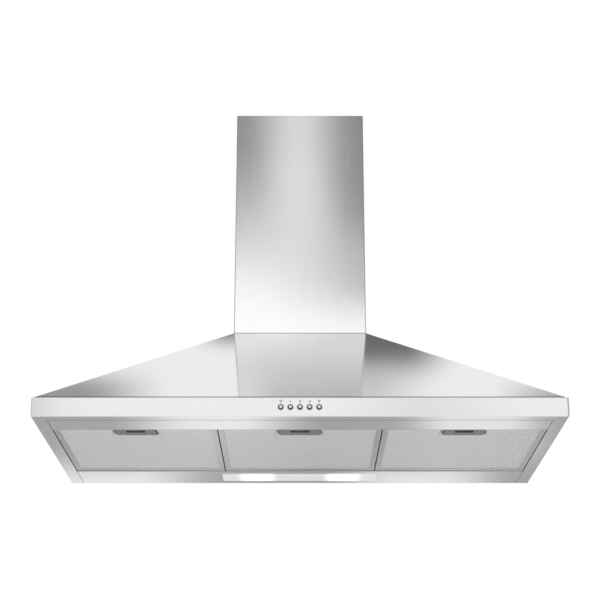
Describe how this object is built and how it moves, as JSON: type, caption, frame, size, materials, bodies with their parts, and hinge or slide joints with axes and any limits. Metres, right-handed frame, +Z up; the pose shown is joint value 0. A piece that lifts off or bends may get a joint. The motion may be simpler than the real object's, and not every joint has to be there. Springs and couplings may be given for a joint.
{
  "type": "chimney range hood",
  "caption": "Wall-mounted pyramid range hood with chimney covers, cassette grease filters that swing down, push buttons, lamps and a twin-inlet blower.",
  "frame": {"origin": "on the wall plane at the level of the rim underside, centred between the sides", "axes": "+X to the right seen from the front, +Y into the wall, +Z up"},
  "size_m": [0.9, 0.5042, 0.67],
  "materials": {
    "stainless": "brushed, fine grain along the sheet",
    "galvanised": "dull galvanised",
    "filter_aluminium": "satin rolled",
    "filter_mesh": "expanded mesh in layers",
    "handle_plastic": "fine moulded texture",
    "latch_plastic": "moulded",
    "lens_plastic": "frosted",
    "lamp_glass": "opal glass",
    "holder_plastic": "moulded",
    "chrome_trim": "polished",
    "switch_plastic": "moulded",
    "housing_plastic": "moulded",
    "impeller_plastic": "moulded",
    "motor_metal": "zinc plated",
    "plain_steel": "turned",
    "collar_plastic": "moulded",
    "box_plastic": "moulded",
    "terminal_plastic": "moulded",
    "capacitor_case": "moulded"
  },
  "bodies": {
    "root": {"back_panel": "galvanised", "blower_housing_left": "housing_plastic", "blower_housing_right": "housing_plastic", "blower_plate": "galvanised", "blower_screws": "plain_steel", "box_lid": "box_plastic", "button_bezels": "chrome_trim", "cable_gland": "box_plastic", "canopy_front": "stainless", "canopy_side_left": "stainless", "canopy_side_right": "stainless", "capacitor": "capacitor_case", "chimney_bracket": "galvanised", "chimney_screws": "plain_steel", "electrical_box": "box_plastic", "flap_pin": "plain_steel", "front_strip": "stainless", "inlet_guard": "housing_plastic", "lamp_holder_left": "holder_plastic", "lamp_holder_right": "holder_plastic", "lamp_housing": "galvanised", "lamp_left": "lamp_glass", "lamp_right": "lamp_glass", "light_lens": "lens_plastic", "light_panel": "stainless", "lower_chimney": "stainless", "motor": "motor_metal", "motor_bracket": "galvanised", "outlet_collar": "collar_plastic", "rim_front": "stainless", "rim_side_left": "stainless", "rim_side_right": "stainless", "switch_unit": "switch_plastic", "terminal_block": "terminal_plastic"},
    "off_button": {"button_off": "chrome_trim"},
    "low_button": {"button_low": "chrome_trim"},
    "medium_button": {"button_medium": "chrome_trim"},
    "high_button": {"button_high": "chrome_trim"},
    "light_button": {"button_light": "chrome_trim"},
    "left_filter": {"filter_frame_left": "filter_aluminium", "filter_mesh_left": "filter_mesh", "filter_handle_left": "handle_plastic"},
    "left_latch": {"filter_latch_left": "latch_plastic"},
    "centre_filter": {"filter_frame_centre": "filter_aluminium", "filter_mesh_centre": "filter_mesh", "filter_handle_centre": "handle_plastic"},
    "centre_latch": {"filter_latch_centre": "latch_plastic"},
    "right_filter": {"filter_frame_right": "filter_aluminium", "filter_mesh_right": "filter_mesh", "filter_handle_right": "handle_plastic"},
    "right_latch": {"filter_latch_right": "latch_plastic"},
    "impeller_rotor": {"impeller": "impeller_plastic", "motor_shaft": "plain_steel"},
    "left_flap": {"flap_left": "collar_plastic"},
    "right_flap": {"flap_right": "collar_plastic"},
    "upper_cover": {"upper_chimney": "stainless"}
  },
  "joints": [
    {"name": "off_button_press", "type": "slide", "parent": "root", "child": "off_button", "axis": [0, 1, 0], "range_m": [0, 0.003], "stiffness_N_per_m": 300, "springref_m": -0.003},
    {"name": "low_button_press", "type": "slide", "parent": "root", "child": "low_button", "axis": [0, 1, 0], "range_m": [0, 0.003], "stiffness_N_per_m": 300, "springref_m": -0.003},
    {"name": "medium_button_press", "type": "slide", "parent": "root", "child": "medium_button", "axis": [0, 1, 0], "range_m": [0, 0.003], "stiffness_N_per_m": 300, "springref_m": -0.003},
    {"name": "high_button_press", "type": "slide", "parent": "root", "child": "high_button", "axis": [0, 1, 0], "range_m": [0, 0.003], "stiffness_N_per_m": 300, "springref_m": -0.003},
    {"name": "light_button_press", "type": "slide", "parent": "root", "child": "light_button", "axis": [0, 1, 0], "range_m": [0, 0.003], "stiffness_N_per_m": 300, "springref_m": -0.003},
    {"name": "left_filter_swing", "type": "hinge", "parent": "root", "child": "left_filter", "pos_m": [-0.28467, -0.099, 0.001], "axis": [1, 0, 0], "range_deg": [0, 70]},
    {"name": "left_latch_slide", "type": "slide", "parent": "left_filter", "child": "left_latch", "axis": [0, 1, 0], "range_m": [0, 0.007], "stiffness_N_per_m": 250, "springref_m": -0.004},
    {"name": "centre_filter_swing", "type": "hinge", "parent": "root", "child": "centre_filter", "pos_m": [0, -0.099, 0.001], "axis": [1, 0, 0], "range_deg": [0, 70]},
    {"name": "centre_latch_slide", "type": "slide", "parent": "centre_filter", "child": "centre_latch", "axis": [0, 1, 0], "range_m": [0, 0.007], "stiffness_N_per_m": 250, "springref_m": -0.004},
    {"name": "right_filter_swing", "type": "hinge", "parent": "root", "child": "right_filter", "pos_m": [0.28467, -0.099, 0.001], "axis": [1, 0, 0], "range_deg": [0, 70]},
    {"name": "right_latch_slide", "type": "slide", "parent": "right_filter", "child": "right_latch", "axis": [0, 1, 0], "range_m": [0, 0.007], "stiffness_N_per_m": 250, "springref_m": -0.004},
    {"name": "impeller_spin", "type": "hinge", "parent": "root", "child": "impeller_rotor", "pos_m": [0, -0.195, 0.14], "axis": [1, 0, 0], "continuous": true},
    {"name": "left_flap_hinge", "type": "hinge", "parent": "root", "child": "left_flap", "pos_m": [0, -0.12602, 0.296], "axis": [0, 1, 0], "range_deg": [0, 75]},
    {"name": "right_flap_hinge", "type": "hinge", "parent": "root", "child": "right_flap", "pos_m": [0, -0.12602, 0.296], "axis": [0, -1, 0], "range_deg": [0, 75]},
    {"name": "upper_chimney_slide", "type": "slide", "parent": "root", "child": "upper_cover", "axis": [0, 0, 1], "range_m": [0, 0.38]}
  ]
}
